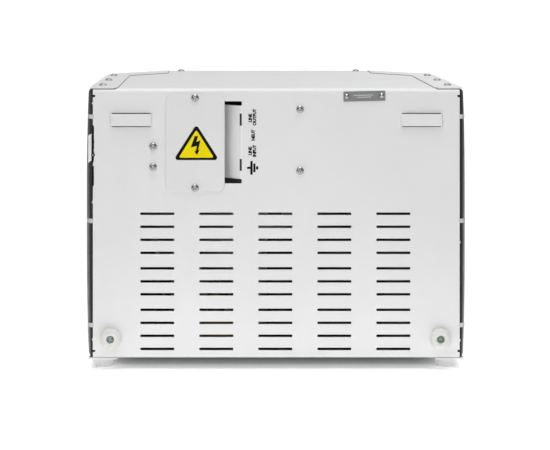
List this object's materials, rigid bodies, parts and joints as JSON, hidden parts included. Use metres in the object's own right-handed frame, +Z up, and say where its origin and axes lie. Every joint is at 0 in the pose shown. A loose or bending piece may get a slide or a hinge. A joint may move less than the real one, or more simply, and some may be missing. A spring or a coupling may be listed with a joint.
{
  "type": "benchtop autoclave",
  "caption": "Benchtop steam steriliser: white sheet casing with bowed dark sides, vented rear cover, round front door over a horizontal chamber, control strip and rubber feet.",
  "frame": {"origin": "centre of the bounding box's footprint, on the plane the feet stand on", "axes": "+Z up, -Y is the front with the door, +Y is the vented rear cover, +X is on the right for someone facing the front"},
  "size_m": [0.4664, 0.618, 0.3427],
  "materials": {
    "powder_white": "fine matt powder coat",
    "bezel_white": "satin moulded plastic",
    "dark_panel": "gloss dark grey",
    "overlay": "semi-gloss overlay film",
    "window": "gloss dark display lens",
    "stainless": "brushed",
    "zinc_steel": "bright plated",
    "ivory_rubber": "matt",
    "silicone": "matt",
    "brass": "machined",
    "black_plastic": "fine texture",
    "tank_plastic": "milky",
    "board": "solder mask",
    "insulation": "woven glass jacket",
    "green_button": "satin",
    "red_button": "satin",
    "grey_button": "satin",
    "plate_metal": "printed satin foil"
  },
  "bodies": {
    "casing": {"rear_top_cover": "powder_white", "side_frame_right": "powder_white", "side_frame_left": "powder_white", "side_panel_right": "dark_panel", "side_panel_left": "dark_panel", "side_service_clip": "bezel_white", "base_pan": "zinc_steel", "foot_rear_right": "ivory_rubber", "foot_rear_left": "ivory_rubber", "foot_front_right": "ivory_rubber", "foot_front_left": "ivory_rubber", "rear_bumper_right": "ivory_rubber", "rear_bumper_left": "ivory_rubber", "terminal_cover": "powder_white", "terminal_block": "black_plastic", "terminal_cover_screw_upper": "zinc_steel", "terminal_cover_screw_lower": "zinc_steel", "rear_screw_right_upper": "zinc_steel", "rear_screw_right_lower": "zinc_steel", "rear_screw_middle_upper": "zinc_steel", "rear_screw_middle_lower": "zinc_steel", "nameplate": "plate_metal", "front_bezel": "bezel_white", "control_panel": "overlay", "display_window": "window", "gauge_case": "zinc_steel", "control_board": "board", "drain_valve": "brass", "chamber_vessel": "stainless", "keeper_ring": "stainless", "insulation_jacket": "insulation", "front_bulkhead": "stainless", "tray_rack": "stainless", "instrument_tray": "stainless", "steam_generator": "stainless", "vacuum_pump": "black_plastic", "water_tank": "tank_plastic", "condenser": "stainless", "fan_frame": "black_plastic", "valve_block": "brass", "safety_valve": "brass", "power_supply": "stainless", "hinge_bracket": "stainless", "hinge_pin": "zinc_steel"},
    "door": {"door_plate": "stainless", "door_gasket": "silicone", "door_cover": "bezel_white", "hinge_arm": "stainless"},
    "door_lock": {"door_handle": "black_plastic", "lock_cam": "stainless"},
    "bolt_upper": {"lock_bolt_upper": "stainless"},
    "bolt_lower_left": {"lock_bolt_lower_left": "stainless"},
    "bolt_lower_right": {"lock_bolt_lower_right": "stainless"},
    "fan": {"fan_rotor": "black_plastic"},
    "rocker": {"power_rocker": "black_plastic"},
    "drain": {"drain_knob": "black_plastic"},
    "needle": {"gauge_needle": "black_plastic"},
    "mode": {"mode_button": "grey_button"},
    "start": {"start_button": "green_button"},
    "stop": {"stop_button": "red_button"}
  },
  "joints": [
    {"name": "door_hinge", "type": "hinge", "parent": "casing", "child": "door", "pos_m": [-0.14, -0.269, 0.146], "axis": [0, 0, -1], "range_deg": [0, 110]},
    {"name": "handle_turn", "type": "hinge", "parent": "door", "child": "door_lock", "pos_m": [0, -0.293, 0.146], "axis": [0, 1, 0], "range_deg": [0, 90]},
    {"name": "bolt_upper_slide", "type": "slide", "parent": "door", "child": "bolt_upper", "axis": [0, 0, 1], "range_m": [0, 0.009]},
    {"name": "bolt_lower_left_slide", "type": "slide", "parent": "door", "child": "bolt_lower_left", "axis": [-0.866, 0, -0.5], "range_m": [0, 0.009]},
    {"name": "bolt_lower_right_slide", "type": "slide", "parent": "door", "child": "bolt_lower_right", "axis": [0.866, 0, -0.5], "range_m": [0, 0.009]},
    {"name": "fan_spin", "type": "hinge", "parent": "casing", "child": "fan", "pos_m": [-0.05, 0.223, 0.096], "axis": [0, 1, 0], "continuous": true},
    {"name": "power_rocker_tilt", "type": "hinge", "parent": "casing", "child": "rocker", "pos_m": [0.182, -0.1864, 0.058], "axis": [0.565, 0.8251, 0], "range_deg": [0, 14]},
    {"name": "drain_knob_turn", "type": "hinge", "parent": "casing", "child": "drain", "pos_m": [-0.182, -0.1864, 0.052], "axis": [-0.8251, -0.565, 0], "range_deg": [0, 270]},
    {"name": "gauge_needle_turn", "type": "hinge", "parent": "casing", "child": "needle", "pos_m": [-0.1, -0.253, 0.309], "axis": [0, 1, 0], "range_deg": [0, 270]},
    {"name": "mode_button_press", "type": "slide", "parent": "casing", "child": "mode", "axis": [0, 1, 0], "range_m": [0, 0.0015]},
    {"name": "start_button_press", "type": "slide", "parent": "casing", "child": "start", "axis": [0, 1, 0], "range_m": [0, 0.0015]},
    {"name": "stop_button_press", "type": "slide", "parent": "casing", "child": "stop", "axis": [0, 1, 0], "range_m": [0, 0.0015]}
  ],
  "couplings": [
    {"joint": "bolt_upper_slide", "follows": "handle_turn", "m_per_rad": 0.0057168},
    {"joint": "bolt_lower_left_slide", "follows": "handle_turn", "m_per_rad": 0.0057168},
    {"joint": "bolt_lower_right_slide", "follows": "handle_turn", "m_per_rad": 0.0057168}
  ]
}
